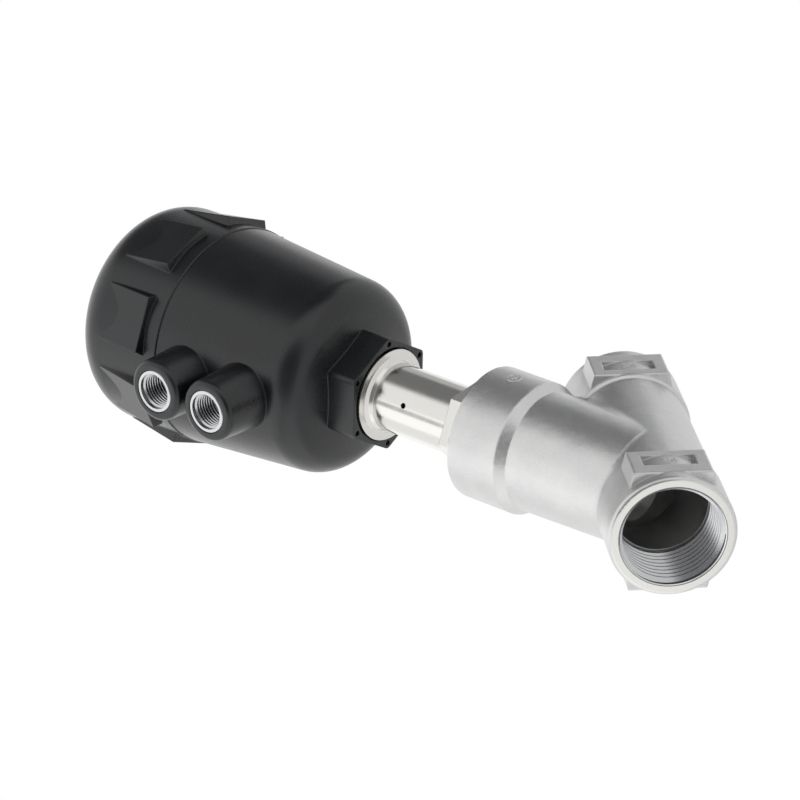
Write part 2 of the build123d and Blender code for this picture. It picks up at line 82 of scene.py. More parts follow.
def linear(code: str) -> tuple[float, float, float, float]:
    """Turn an sRGB hex colour into linear values.

    Args:
        code: six hex digits, with or without a leading hash.

    Returns:
        Red, green, blue and an alpha of one.
    """
    code = code.lstrip("#")
    levels = [int(code[i:i + 2], 16) / 255 for i in (0, 2, 4)]
    flat = [v / 12.92 if v <= 0.04045 else ((v + 0.055) / 1.055) ** 2.4 for v in levels]
    return flat[0], flat[1], flat[2], 1.0


def add_node(
    tree: bpy.types.NodeTree, kind: str, inputs: Optional[dict[Any, Any]] = None, **settings: Any
) -> bpy.types.Node:
    """Add one node with its settings, socket values and links.

    Args:
        tree: the node tree to add to.
        kind: the node's type name.
        inputs: socket name or index to a plain value or to the socket it is linked from.
        settings: properties of the node itself.

    Returns:
        The new node.
    """
    node = tree.nodes.new(kind)
    for name, value in settings.items():
        setattr(node, name, value)
    for socket, value in (inputs or {}).items():
        if isinstance(value, Socket):
            tree.links.new(value, node.inputs[socket])
        else:
            node.inputs[socket].default_value = value
    return node


def per_metre(size_mm: float) -> float:
    """Texture scale that gives features of about this size."""
    return 1.0 / (size_mm * MM)


class Coordinates:
    """Distances along and round the pipe and the stem, read from object coordinates."""

    def __init__(self, tree: bpy.types.NodeTree) -> None:
        """Add the nodes that the distances share.

        Args:
            tree: the material's node tree.
        """
        self.tree = tree
        self.point = add_node(tree, "ShaderNodeTexCoord").outputs["Object"]

    def math(self, operation: str, *values: Any) -> Socket:
        """Result of one arithmetic step on sockets or numbers."""
        return add_node(
            self.tree, "ShaderNodeMath", dict(enumerate(values)), operation=operation
        ).outputs[0]

    def from_crossing(self, axis: Vector) -> Socket:
        """Distance along an axis, from where the stem crosses the pipe axis.

        Args:
            axis: the axis, of length one.

        Returns:
            The distance in metres.
        """
        kind = "ShaderNodeVectorMath"
        moved = add_node(self.tree, kind, {0: self.point, 1: tuple(STEM_CROSSING)}, operation="SUBTRACT")
        along = add_node(self.tree, kind, {0: moved.outputs[0], 1: tuple(axis)}, operation="DOT_PRODUCT")
        return along.outputs["Value"]

    def along_stem(self) -> Socket:
        """Height along the stem, from where it crosses the pipe axis."""
        return self.from_crossing(STEM_AXIS)

    def along_side(self) -> Socket:
        """Distance across the stem, in the plane of pipe and stem."""
        return self.from_crossing(STEM_SIDE)

    def split(self) -> tuple[Socket, Socket, Socket]:
        """The three object coordinates."""
        parts = add_node(self.tree, "ShaderNodeSeparateXYZ", {0: self.point}).outputs
        return parts[0], parts[1], parts[2]

    def length(self, first: Socket, second: Socket) -> Socket:
        """Length of two perpendicular distances taken together."""
        first_square = self.math("MULTIPLY", first, first)
        second_square = self.math("MULTIPLY", second, second)
        return self.math("SQRT", self.math("ADD", first_square, second_square))

    def from_pipe_axis(self) -> Socket:
        """Distance from the pipe axis."""
        _, y, z = self.split()
        return self.length(y, z)

    def from_stem_axis(self) -> Socket:
        """Distance from the stem axis."""
        _, y, _ = self.split()
        return self.length(y, self.along_side())


def noise(
    coords: Coordinates, size_mm: float, detail: float = 3.0, vector: Optional[Socket] = None
) -> Socket:
    """Fractal noise of a real size.

    Args:
        coords: the material's coordinates.
        size_mm: size of the largest features in millimetres.
        detail: octaves of finer features.
        vector: coordinates to read, if not the object's.

    Returns:
        The noise factor.
    """
    return add_node(coords.tree, "ShaderNodeTexNoise", {
        "Vector": vector or coords.point, "Scale": per_metre(size_mm), "Detail": detail,
        "Roughness": NOISE_ROUGHNESS,
    }).outputs["Fac"]


def spread(
    coords: Coordinates, value: Socket, low: float, high: float, to_low: float = 0.0, to_high: float = 1.0
) -> Socket:
    """Map a value from one range to another, held at both ends."""
    return add_node(
        coords.tree, "ShaderNodeMapRange",
        {"Value": value, "From Min": low, "From Max": high, "To Min": to_low, "To Max": to_high},
    ).outputs[0]


def graded(coords: Coordinates, texture: Socket, to_low: float = 0.0, to_high: float = 1.0) -> Socket:
    """Map a noise factor from the range that it mostly stays in to another."""
    return spread(coords, texture, NOISE_LOW, NOISE_HIGH, to_low, to_high)


def mix_colour(coords: Coordinates, factor: Any, first: Any, second: Any) -> Socket:
    """Blend two colours by a factor."""
    return add_node(
        coords.tree, "ShaderNodeMix", {0: factor, 6: first, 7: second}, data_type="RGBA"
    ).outputs[2]


def bump(
    coords: Coordinates, height: Socket, depth_mm: float, normal: Optional[Socket] = None
) -> Socket:
    """Relief of a real depth.

    Args:
        coords: the material's coordinates.
        height: relief from zero to one.
        depth_mm: depth of the full relief in millimetres.
        normal: normal to start from.

    Returns:
        The bumped normal.
    """
    inputs = {"Height": height, "Distance": depth_mm * MM, "Strength": 1.0}
    if normal is not None:
        inputs["Normal"] = normal
    return add_node(coords.tree, "ShaderNodeBump", inputs).outputs[0]


def rounded_edges(coords: Coordinates, radius_mm: float) -> Socket:
    """Normal that rolls over sharp edges, as casting and moulding leave them."""
    return add_node(coords.tree, "ShaderNodeBevel", {"Radius": radius_mm * MM}, samples=6).outputs[0]


class Finish:
    """A surface finish that builds its material once."""

    name: str = "finish"

    def material(self) -> bpy.types.Material:
        """The finish's material, made on first use."""
        found = bpy.data.materials.get(self.name)
        if found is None:
            found = bpy.data.materials.new(self.name)
            found.use_nodes = True
            tree = found.node_tree
            tree.nodes.clear()
            coords = Coordinates(tree)
            shader = add_node(tree, "ShaderNodeBsdfPrincipled")
            add_node(tree, "ShaderNodeOutputMaterial", {"Surface": shader.outputs[0]})
            self.dress(coords, shader)
        return found

    def dress(self, coords: Coordinates, shader: bpy.types.Node) -> None:
        """Fill in the shader."""
        raise NotImplementedError

    def connect(self, coords: Coordinates, shader: bpy.types.Node, **sockets: Any) -> None:
        """Link or set shader sockets, with spaces in their names written as underscores."""
        for key, value in sockets.items():
            socket = shader.inputs[key.replace("_", " ")]
            if isinstance(value, Socket):
                coords.tree.links.new(value, socket)
            else:
                socket.default_value = value


@dataclass(frozen=True)
class CastSteel(Finish):
    """Investment-cast stainless steel, bead-blasted: a bright satin skin with a fine sparkle grain.

    The port faces and the bonnet face are turned after casting, so they are smoother and brighter,
    with concentric tool marks. The port bores are darker, because little light reaches them. Grain
    and tool marks are drawn about three times as coarse as real ones, so that they show.
    """

    name: str = "cast_stainless_bead_blasted"
    skin: str = "#d0d0cf"
    shade: str = "#c6c7c7"
    sparkle: str = "#e2e2e0"
    turned: str = "#d9d8d4"
    # bore: painted shade, a darker colour for the port bores where little light reaches
    bore: str = "#6f7377"
    grain_mm: float = 0.34
    grain_depth_mm: float = 0.03
    patch_mm: float = 7.0
    speck_range: tuple[float, float] = (0.35, 0.68)
    speck_share: float = 0.5
    ripple_mm: float = 5.0
    ripple_depth_mm: float = 0.16
    edge_mm: float = 0.45
    tool_mark_mm: float = 0.35
    tool_mark_depth_mm: float = 0.003
    skin_roughness: tuple[float, float] = (0.3, 0.46)
    turned_roughness: float = 0.2
    port_face_x_mm: float = 74.9
    thread_end_mm: float = 16.4
    bore_r_mm: float = 13.4
    bonnet_t_mm: float = 52.0

    def dress(self, coords: Coordinates, shader: bpy.types.Node) -> None:
        """Cast skin, with turned faces found by their place."""
        x, _, _ = coords.split()
        radius = coords.from_pipe_axis()
        stem_t = coords.along_stem()
        stem_r = coords.from_stem_axis()
        middle_x = BODY_LENGTH / 2
        from_middle = coords.math("ABSOLUTE", coords.math("SUBTRACT", x, middle_x * MM))
        face = coords.math("GREATER_THAN", from_middle, (self.port_face_x_mm - middle_x) * MM)
        # mask of the port bores, where the painted shade goes
        near_axis = coords.math("LESS_THAN", radius, self.bore_r_mm * MM)
        in_port = coords.math("GREATER_THAN", from_middle, (middle_x - self.thread_end_mm) * MM)
        bore_shade_mask = coords.math("MULTIPLY", near_axis, in_port)
        bonnet = coords.math("GREATER_THAN", stem_t, self.bonnet_t_mm * MM)
        machined = coords.math("MAXIMUM", face, bonnet)

        grain = noise(coords, self.grain_mm, 2.0)
        patches = noise(coords, self.patch_mm)
        tone = mix_colour(coords, graded(coords, patches), linear(self.shade), linear(self.skin))
        speck = spread(coords, grain, *self.speck_range)
        sparkling = coords.math("MULTIPLY", speck, self.speck_share)
        tone = mix_colour(coords, sparkling, tone, linear(self.sparkle))
        tone = mix_colour(coords, machined, tone, linear(self.turned))
        # painted shade: the port bores take the darker bore colour
        tone = mix_colour(coords, bore_shade_mask, tone, linear(self.bore))

        skin_rough = graded(coords, grain, *self.skin_roughness)
        rough = add_node(
            coords.tree, "ShaderNodeMix", {0: machined, 2: skin_rough, 3: self.turned_roughness}
        ).outputs[0]

        around = add_node(coords.tree, "ShaderNodeMix", {0: bonnet, 2: radius, 3: stem_r}).outputs[0]
        turns = coords.math("MULTIPLY", around, 2 * math.pi * per_metre(self.tool_mark_mm))
        rings = coords.math("SINE", turns)
        ripple = noise(coords, self.ripple_mm, 2.0)
        edge = rounded_edges(coords, self.edge_mm)
        cast_relief = bump(coords, ripple, self.ripple_depth_mm, edge)
        cast_relief = bump(coords, grain, self.grain_depth_mm, cast_relief)
        turned_relief = bump(coords, spread(coords, rings, -1.0, 1.0), self.tool_mark_depth_mm)
        reliefs = {0: machined, 4: cast_relief, 5: turned_relief}
        normal = add_node(coords.tree, "ShaderNodeMix", reliefs, data_type="VECTOR").outputs[1]
        self.connect(coords, shader, Base_Color=tone, Metallic=1.0, Roughness=rough, Normal=normal)


@dataclass(frozen=True)
class TurnedSteel(Finish):
    """Stainless bar, turned and polished: long mirror streaks, with faint lathe rings across them."""

    name: str = "turned_stainless_polished"
    colour: str = "#dddcd8"
    ring_mm: float = 0.4
    ring_depth_mm: float = 0.004
    ring_roughness: tuple[float, float] = (0.13, 0.21)
    haze_mm: float = 3.0
    haze_roughness: tuple[float, float] = (-0.02, 0.03)
    edge_mm: float = 0.15

    def dress(self, coords: Coordinates, shader: bpy.types.Node) -> None:
        """Polished metal with lathe rings round the stem axis."""
        height = coords.along_stem()
        line = add_node(coords.tree, "ShaderNodeCombineXYZ", {0: height}).outputs[0]
        rings = noise(coords, self.ring_mm, 2.0, line)
        haze = graded(coords, noise(coords, self.haze_mm), *self.haze_roughness)
        rough = coords.math("ADD", haze, graded(coords, rings, *self.ring_roughness))
        normal = bump(coords, rings, self.ring_depth_mm, rounded_edges(coords, self.edge_mm))
        self.connect(
            coords, shader, Base_Color=linear(self.colour), Metallic=1.0, Roughness=rough, Normal=normal
        )


@dataclass(frozen=True)
class ThreadSteel(Finish):
    """Cut stainless of threads and inserts: a shade darker than polished bar, with an oily sheen."""

    name: str = "cut_thread_stainless"
    colour: str = "#c6c7c8"
    chatter_mm: float = 0.5
    chatter_depth_mm: float = 0.002
    roughness: tuple[float, float] = (0.16, 0.26)

    def dress(self, coords: Coordinates, shader: bpy.types.Node) -> None:
        """Slightly uneven satin metal."""
        chatter = noise(coords, self.chatter_mm, 2.0)
        normal = bump(coords, chatter, self.chatter_depth_mm)
        self.connect(
            coords, shader, Base_Color=linear(self.colour), Metallic=1.0,
            Roughness=graded(coords, chatter, *self.roughness), Normal=normal,
        )


@dataclass(frozen=True)
class MouldedPolyamide(Finish):
    """Glass-filled polyamide, injection moulded: black, satin, with a fine spark-eroded grain."""

    name: str = "glass_filled_polyamide_black"
    colour: str = "#0c0e11"
    bloom: str = "#13171b"
    cloud_mm: float = 14.0
    cloud_range: tuple[float, float] = (0.35, 0.7)
    cloud_roughness: tuple[float, float] = (0.25, 0.31)
    grain_mm: float = 0.22
    grain_depth_mm: float = 0.012
    grain_roughness: tuple[float, float] = (-0.03, 0.03)
    edge_mm: float = 0.5
    ior: float = 1.53

    def dress(self, coords: Coordinates, shader: bpy.types.Node) -> None:
        """Satin black with a slight bloom and grain."""
        cloud = noise(coords, self.cloud_mm, 4.0)
        grain = noise(coords, self.grain_mm, 2.0)
        blooming = spread(coords, cloud, *self.cloud_range)
        tone = mix_colour(coords, blooming, linear(self.colour), linear(self.bloom))
        cloudy = graded(coords, cloud, *self.cloud_roughness)
        rough = coords.math("ADD", cloudy, graded(coords, grain, *self.grain_roughness))
        normal = bump(coords, grain, self.grain_depth_mm, rounded_edges(coords, self.edge_mm))
        self.connect(coords, shader, Base_Color=tone, Roughness=rough, Normal=normal, IOR=self.ior)


@dataclass(frozen=True)
class PlainMoulding(Finish):
    """A small inner moulding, seal or wire: one colour with a fine grain."""

    name: str = "moulding"
    colour: str = "#808080"
    roughness: float = 0.5
    metallic: float = 0.0
    clear: bool = False
    clear_ior: float = 1.58
    grain_mm: float = 0.3
    grain_depth_mm: float = 0.006
    grain_roughness: float = 0.04
    least_roughness: float = 0.02
    bloom: str = "#d8d8d8"
    bloom_mm: float = 4.0
    bloom_share: float = 0.12

    def dress(self, coords: Coordinates, shader: bpy.types.Node) -> None:
        """Even colour, slightly uneven gloss."""
        grain = noise(coords, self.grain_mm, 2.0)
        blooming = graded(coords, noise(coords, self.bloom_mm), 0.0, self.bloom_share)
        tone = mix_colour(coords, blooming, linear(self.colour), linear(self.bloom))
        smoothest = max(self.roughness - self.grain_roughness, self.least_roughness)
        rough = graded(coords, grain, smoothest, self.roughness + self.grain_roughness)
        self.connect(
            coords, shader, Base_Color=tone, Roughness=rough, Metallic=self.metallic,
            Normal=bump(coords, grain, self.grain_depth_mm),
        )
        if self.clear:
            self.connect(coords, shader, Transmission_Weight=1.0, IOR=self.clear_ior)


class Finishes(Enum):
    """The finishes that the valve's pieces take."""

    CAST = CastSteel()
    TURNED = TurnedSteel()
    THREAD = ThreadSteel()
    POLYAMIDE = MouldedPolyamide()
    WIRE = PlainMoulding("drawn_spring_wire", "#9fa2a6", 0.28, 1.0)
    PTFE = PlainMoulding("sintered_ptfe", "#e6e5e0", 0.45)
    NITRILE = PlainMoulding("moulded_nitrile", "#1c1c1c", 0.6)
    PISTON = PlainMoulding("piston_polyamide_grey", "#5b5d5e", 0.45)
    BEARING = PlainMoulding("bearing_polymer_tan", "#a08c62", 0.4)
    INDICATOR = PlainMoulding("indicator_polyamide_orange", "#d8611c", 0.3)
    CLEAR = PlainMoulding("clear_polyamide", "#f2f5f5", 0.05, clear=True)

    def material(self) -> bpy.types.Material:
        """The finish's material."""
        return self.value.material()


NODE_FINISHES: dict[str, Finishes] = {
    "valve_body": Finishes.CAST, "neck_tube": Finishes.TURNED, "body_gasket": Finishes.PTFE,
    "packing_gland": Finishes.TURNED, "packing_thrust_lower": Finishes.TURNED,
    "packing_vrings": Finishes.PTFE, "packing_thrust_upper": Finishes.TURNED,
    "packing_spring": Finishes.WIRE, "upper_bush": Finishes.BEARING,
    "spigot_ring": Finishes.WIRE, "swivel_oring": Finishes.NITRILE, "actuator_housing": Finishes.POLYAMIDE,
    "actuator_cover": Finishes.POLYAMIDE, "cover_oring": Finishes.NITRILE, "stem_seal": Finishes.NITRILE,
    "thread_insert_lower": Finishes.THREAD, "thread_insert_upper": Finishes.THREAD,
    "indicator_cap": Finishes.CLEAR, "main_spring": Finishes.WIRE, "spindle": Finishes.TURNED,
    "valve_disc": Finishes.TURNED, "seat_seal": Finishes.PTFE, "disc_pin": Finishes.TURNED,
    "piston": Finishes.PISTON, "piston_lip_seal": Finishes.NITRILE, "piston_guide_ring": Finishes.PTFE,
    "piston_nut": Finishes.TURNED, "indicator_pin": Finishes.INDICATOR,
}


def dress_solids() -> None:
    """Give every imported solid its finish."""
    for name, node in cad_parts.items():
        node.data.materials.clear()
        node.data.materials.append(NODE_FINISHES[name].material())
        log.info("finish %s on %s", NODE_FINISHES[name].value.name, name)


def settle(piece: bpy.types.Object, body: str, slot: str) -> bpy.types.Object:
    """Fix a finished piece to its body.

    Args:
        piece: the piece, with its place in its mesh.
        body: the CAD body it moves with.
        slot: not used.

    Returns:
        The same piece.
    """
    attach(piece, body)
    log.info("piece %s rides on %s: %d faces", piece.name, body, len(piece.data.polygons))
    return piece


def link_mesh(name: str, mesh: bpy.types.Mesh) -> bpy.types.Object:
    """Put a mesh in the scene as an object at the origin."""
    piece = bpy.data.objects.new(name, mesh)
    bpy.context.scene.collection.objects.link(piece)
    return piece


def merge_and_smooth(mesh: bpy.types.Mesh) -> None:
    """Merge doubles, point the faces outwards and shade them smooth between crisp edges."""
    work = bmesh.new()
    work.from_mesh(mesh)
    bmesh.ops.remove_doubles(work, verts=work.verts, dist=MERGE_DISTANCE)
    bmesh.ops.recalc_face_normals(work, faces=work.faces)
    work.to_mesh(mesh)
    work.free()
    mesh.shade_smooth()
    mesh.set_sharp_from_angle(angle=CRISP_ANGLE)


@dataclass
class ThreadTurns:
    """Turns of an internal parallel pipe thread, built by a node tree along a helix.

    Sizes are in millimetres. The helix starts `lead_in` behind the port face. Its ridge has shares
    of the pitch for its depth and for half its root and crest, and bites a little into the bore.
    """

    name: str
    body: str
    slot: str
    mouth: Vector
    inwards: Vector
    major_r: float
    pitch: float
    length: float
    lead_in: float = 1.15
    start_angle: float = -90.0

    SOCKETS = (
        ("Radius", "NodeSocketFloat"), ("Pitch", "NodeSocketFloat"), ("Turns", "NodeSocketFloat"),
        ("Depth", "NodeSocketFloat"), ("Steps", "NodeSocketInt"), ("Finish", "NodeSocketMaterial"),
    )
    DEPTH_SHARE = 0.62
    ROOT_SHARE = 0.46
    CREST_SHARE = 0.09
    BITE = 0.04
    STEPS_PER_TURN = 64

    @classmethod
    def tree(cls) -> bpy.types.NodeTree:
        """The node tree that sweeps a thread ridge along a helix, made once."""
        tree = bpy.data.node_groups.get("thread_turns")
        if tree is not None:
            return tree
        tree = bpy.data.node_groups.new("thread_turns", "GeometryNodeTree")
        for name, kind in cls.SOCKETS:
            tree.interface.new_socket(name=name, in_out="INPUT", socket_type=kind)
        tree.interface.new_socket(name="Geometry", in_out="OUTPUT", socket_type="NodeSocketGeometry")
        given = add_node(tree, "NodeGroupInput").outputs

        def value(operation: str, *values: Any) -> Socket:
            """One arithmetic step."""
            return add_node(
                tree, "ShaderNodeMath", dict(enumerate(values)), operation=operation
            ).outputs[0]

        def corner(across: Any, along: Any) -> Socket:
            """Profile corner from its two distances."""
            return add_node(tree, "ShaderNodeCombineXYZ", {0: across, 1: along}).outputs[0]

        helix = add_node(tree, "GeometryNodeCurveSpiral", {
            "Resolution": given["Steps"], "Rotations": given["Turns"], "Start Radius": given["Radius"],
            "End Radius": given["Radius"], "Height": value("MULTIPLY", given["Turns"], given["Pitch"]),
        })
        upright = add_node(tree, "GeometryNodeSetCurveNormal", {0: helix.outputs[0]}, mode="Z_UP")
        half_root = value("MULTIPLY", given["Pitch"], cls.ROOT_SHARE)
        half_crest = value("MULTIPLY", given["Pitch"], cls.CREST_SHARE)
        deep = given["Depth"]
        ridge = add_node(tree, "GeometryNodeCurvePrimitiveQuadrilateral", {
            "Point 1": corner(0.0, half_root), "Point 2": corner(deep, half_crest),
            "Point 3": corner(deep, value("MULTIPLY", half_crest, -1.0)),
            "Point 4": corner(0.0, value("MULTIPLY", half_root, -1.0)),
        }, mode="POINTS")
        swept = add_node(tree, "GeometryNodeCurveToMesh", {
            "Curve": upright.outputs[0], "Profile Curve": ridge.outputs[0], "Fill Caps": True})
        real = add_node(tree, "GeometryNodeRealizeInstances", {0: swept.outputs[0]})
        finished = add_node(tree, "GeometryNodeSetMaterial", {
            "Geometry": real.outputs[0], "Material": given["Finish"]})
        add_node(tree, "NodeGroupOutput", {0: finished.outputs[0]})
        return tree

    def build(self) -> bpy.types.Object:
        """Sweep the thread and set it in its bore.

        Returns:
            The finished piece.
        """
        tree = self.tree()
        carrier = link_mesh(self.name + "_helix", bpy.data.meshes.new(self.name + "_helix"))
        modifier = carrier.modifiers.new("thread", "NODES")
        modifier.node_group = tree
        turns = (self.length - self.lead_in) / self.pitch
        given = {
            "Radius": (self.major_r + self.BITE) * MM, "Pitch": self.pitch * MM, "Turns": turns,
            "Depth": self.DEPTH_SHARE * self.pitch * MM, "Steps": self.STEPS_PER_TURN,
            "Finish": Finishes.THREAD.material(),
        }
        for item in tree.interface.items_tree:
            if item.in_out == "INPUT":
                modifier[item.identifier] = given[item.name]
        evaluated = carrier.evaluated_get(bpy.context.evaluated_depsgraph_get())
        mesh = bpy.data.meshes.new_from_object(evaluated)
        carrier.modifiers.remove(modifier)
        bpy.data.objects.remove(carrier)
        start = self.mouth + self.inwards * self.lead_in * MM
        turn = self.inwards.to_track_quat("Z", "Y").to_matrix().to_4x4()
        turn = turn @ Matrix.Rotation(math.radians(self.start_angle), 4, "Z")
        mesh.transform(Matrix.Translation(start) @ turn)
        merge_and_smooth(mesh)
        mesh.name = self.name
        return settle(link_mesh(self.name, mesh), self.body, self.slot)


@dataclass
class MouthChamfer:
    """Turned lead-in cone at the mouth of a pipe thread, sizes in millimetres."""

    name: str
    mouth: Vector
    inwards: Vector
    outer_r: float = 13.24
    inner_r: float = 12.95
    depth: float = 0.3
    back: float = 0.7
    start: float = 0.03
    steps: int = 128

    def build(self) -> bpy.types.Object:
        """Spin the cone's small triangular section round the pipe.

        Returns:
            The finished piece.
        """
        section = ((self.start, self.outer_r), (self.depth, self.inner_r), (self.back, self.outer_r))
        turn = self.inwards.to_track_quat("Z", "Y").to_matrix()
        points = []
        for i in range(self.steps):
            angle = 2 * math.pi * i / self.steps
            for along, radius in section:
                spot = Vector((radius * math.cos(angle), radius * math.sin(angle), along)) * MM
                points.append(self.mouth + turn @ spot)
        faces = []
        for i in range(self.steps):
            here, there = 3 * i, 3 * ((i + 1) % self.steps)
            faces += [(here + k, here + (k + 1) % 3, there + (k + 1) % 3, there + k) for k in range(3)]
        mesh = bpy.data.meshes.new(self.name)
        mesh.from_pydata([tuple(point) for point in points], [], faces)
        merge_and_smooth(mesh)
        mesh.materials.append(Finishes.TURNED.material())
        return settle(link_mesh(self.name, mesh), "body", "cast_steel")


@dataclass
class CastMarks:
    """Raised size figures in the spanner-flat pockets and a small round gate mark on the bonnet."""

    figures: str = "3/4"
    height: float = 3.3
    relief: float = 0.2
    floor_r: float = 15.88
    pocket_x: float = 9.75
    bonnet_r: float = 17.5
    mark_t: float = 44.8
    mark_angle: float = -1.3
    mark_rings: Sequence[tuple[float, float]] = ((1.75, 0.24), (0.5, 0.34))
    ring_steps: int = 32
    roll_steps: int = 10

    def size_figures(self, name: str, centre_x: float, side: float) -> bpy.types.Object:
        """Raised figures on one pocket's curved floor.

        Args:
            name: the piece's name.
            centre_x: the pocket's middle along the pipe in millimetres.
            side: minus one for the -Y flat, plus one for the +Y flat.

        Returns:
            The finished piece.
        """
        text = bpy.data.curves.new(name + "_text", "FONT")
        text.body = self.figures
        text.size = self.height * MM
        text.extrude = self.relief * MM
        text.align_x = text.align_y = "CENTER"
        text.resolution_u = 3
        writing = bpy.data.objects.new(name + "_text", text)
        bpy.context.scene.collection.objects.link(writing)
        bpy.context.view_layer.update()
        evaluated = writing.evaluated_get(bpy.context.evaluated_depsgraph_get())
        mesh = bpy.data.meshes.new_from_object(evaluated)
        bpy.data.objects.remove(writing)
        across, up, out = Vector((0, 0, side)), Vector((1, 0, 0)), Vector((0, side, 0))
        for vertex in mesh.vertices:
            u, v, w = vertex.co
            rise = math.sqrt((self.floor_r * MM) ** 2 - u * u)
            vertex.co = Vector((centre_x * MM, 0, 0)) + across * u + up * v + out * (rise + w)
        mesh.materials.clear()
        mesh.materials.append(Finishes.CAST.material())
        mesh.name = name
        return settle(link_mesh(name, mesh), "body", "cast_steel")

    def mark_row(self, work: bmesh.types.BMesh, step: int, major: float, minor: float) -> list[Any]:
        """One cross-section of a small torus that is wrapped on the bonnet.

        Args:
            work: the mesh to add to.
            step: which cross-section round the torus.
            major: the torus's radius.
            minor: the radius of its section.

        Returns:
            The section's vertices.
        """
        turn = 2 * math.pi * step / self.ring_steps
        row = []
        for j in range(self.roll_steps):
            roll = 2 * math.pi * j / self.roll_steps
            reach = major + minor * math.cos(roll)
            around, along = reach * math.cos(turn), reach * math.sin(turn)
            angle = math.radians(self.mark_angle) + around / self.bonnet_r
            radius = self.bonnet_r + minor * math.sin(roll)
            outward = Vector((0, -1, 0)) * math.cos(angle) + STEM_SIDE * math.sin(angle)
            spot = STEM_AXIS * (self.mark_t + along) + outward * radius
            row.append(work.verts.new(STEM_CROSSING + spot * MM))
        return row

    def gate_mark(self) -> bpy.types.Object:
        """Small raised ring with a dot in it, wrapped on the bonnet.

        Returns:
            The finished piece.
        """
        work = bmesh.new()
        for major, minor in self.mark_rings:
            rows = [self.mark_row(work, i, major, minor) for i in range(self.ring_steps)]
            for i in range(self.ring_steps):
                here, there = rows[i], rows[(i + 1) % self.ring_steps]
                for j in range(self.roll_steps):
                    k = (j + 1) % self.roll_steps
                    work.faces.new((here[j], here[k], there[k], there[j]))
        bmesh.ops.recalc_face_normals(work, faces=work.faces)
        mesh = bpy.data.meshes.new("gate_mark")
        work.to_mesh(mesh)
        work.free()
        mesh.shade_smooth()
        mesh.materials.append(Finishes.CAST.material())
        return settle(link_mesh("gate_mark", mesh), "body", "cast_steel")

    def build(self) -> list[bpy.types.Object]:
        """All cast marks."""
        made = [self.gate_mark()]
        for port, centre in (("inlet", self.pocket_x), ("outlet", BODY_LENGTH - self.pocket_x)):
            for flat, side in (("front", -1.0), ("back", 1.0)):
                made.append(self.size_figures(f"size_figures_{port}_{flat}", centre, side))
        return made


@dataclass
class Threads:
    """Every visible thread of the valve, sizes in millimetres."""

    pipe_major_r: float = 13.22
    pipe_pitch: float = 1.814
    pipe_length: float = 15.8
    air_major_r: float = 4.865
    air_pitch: float = 0.907
    air_length: float = 8.4
    air_heights: Sequence[float] = (114.2, 132.8)
    air_reach: float = 40.1
    air_lead_in: float = 0.9

    def build(self) -> list[bpy.types.Object]:
        """Thread turns of both pipe ports, with their mouths, and of both air ports."""
        x_axis = Vector((1, 0, 0))
        ports = (("inlet", Vector((0, 0, 0)), x_axis), ("outlet", x_axis * BODY_LENGTH * MM, -x_axis))
        made = []
        for port, mouth, inwards in ports:
            made.append(ThreadTurns(
                f"{port}_thread", "body", "cast_steel", mouth, inwards,
                self.pipe_major_r, self.pipe_pitch, self.pipe_length).build())
        for port, mouth, inwards in ports:
            made.append(MouthChamfer(f"{port}_mouth", mouth, inwards).build())
        for label, height in zip(("lower", "upper"), self.air_heights):
            mouth = STEM_CROSSING + STEM_AXIS * height * MM - STEM_SIDE * self.air_reach * MM
            made.append(ThreadTurns(
                f"air_thread_{label}", "actuator", "turned_steel", mouth, STEM_SIDE.copy(),
                self.air_major_r, self.air_pitch, self.air_length, self.air_lead_in).build())
        return made


@dataclass
class ClosingSpring:
    """Closing spring under the cover's roof, a smoothed copy of the rigid CAD coil, sizes in metres."""

    stroke: float = 0.008
    name: str = "closing_spring"

    def build(self) -> bpy.types.Object:
        """Stand in for the rigid coil with a smoothed copy of it.

        Returns:
            The finished piece.
        """
        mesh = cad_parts["main_spring"].data.copy()
        mesh.name = self.name
        merge_and_smooth(mesh)
        piece = link_mesh(self.name, mesh)
        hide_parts("main_spring")
        settle(piece, "actuator", "spring_steel")
        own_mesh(piece)
        return piece


@dataclass(frozen=True)
class Panel:
    """Round grey panel of the studio tent, by its direction, half angle and edge softness in degrees."""

    toward: tuple[float, float, float]
    half_angle: float
    softness: float
    level: float


@dataclass(frozen=True)
class Lamp:
    """Square area lamp, by its place from the valve's middle in metres, its watts and its side."""

    name: str
    place: tuple[float, float, float]
    power: float
    side: float


